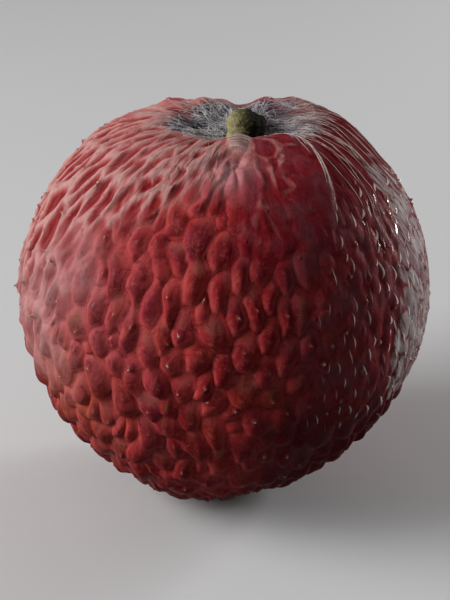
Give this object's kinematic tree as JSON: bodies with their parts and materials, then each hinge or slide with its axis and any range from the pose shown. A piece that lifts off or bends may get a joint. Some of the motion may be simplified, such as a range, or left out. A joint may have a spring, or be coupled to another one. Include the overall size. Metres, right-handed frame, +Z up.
{
  "type": "lychee",
  "caption": "Round lychee fruit in a rough, warty leathery rind, sunken at the stem end, with a short cut stem stub and a small flat to rest on.",
  "frame": {"origin": "centre of the small flat spot that the fruit rests on", "axes": "+Z up, away from the surface it rests on; the stem end is on top and leans slightly towards +X; the pictured side faces -Y"},
  "size_m": [0.0381, 0.037, 0.0371],
  "materials": {
    "rind": "leathery fruit rind, satin, red with pale veins",
    "stem": "rough olive-brown bark, matte"
  },
  "bodies": {
    "root": {"fruit": "rind", "stem_stub": "stem"}
  },
  "joints": []
}
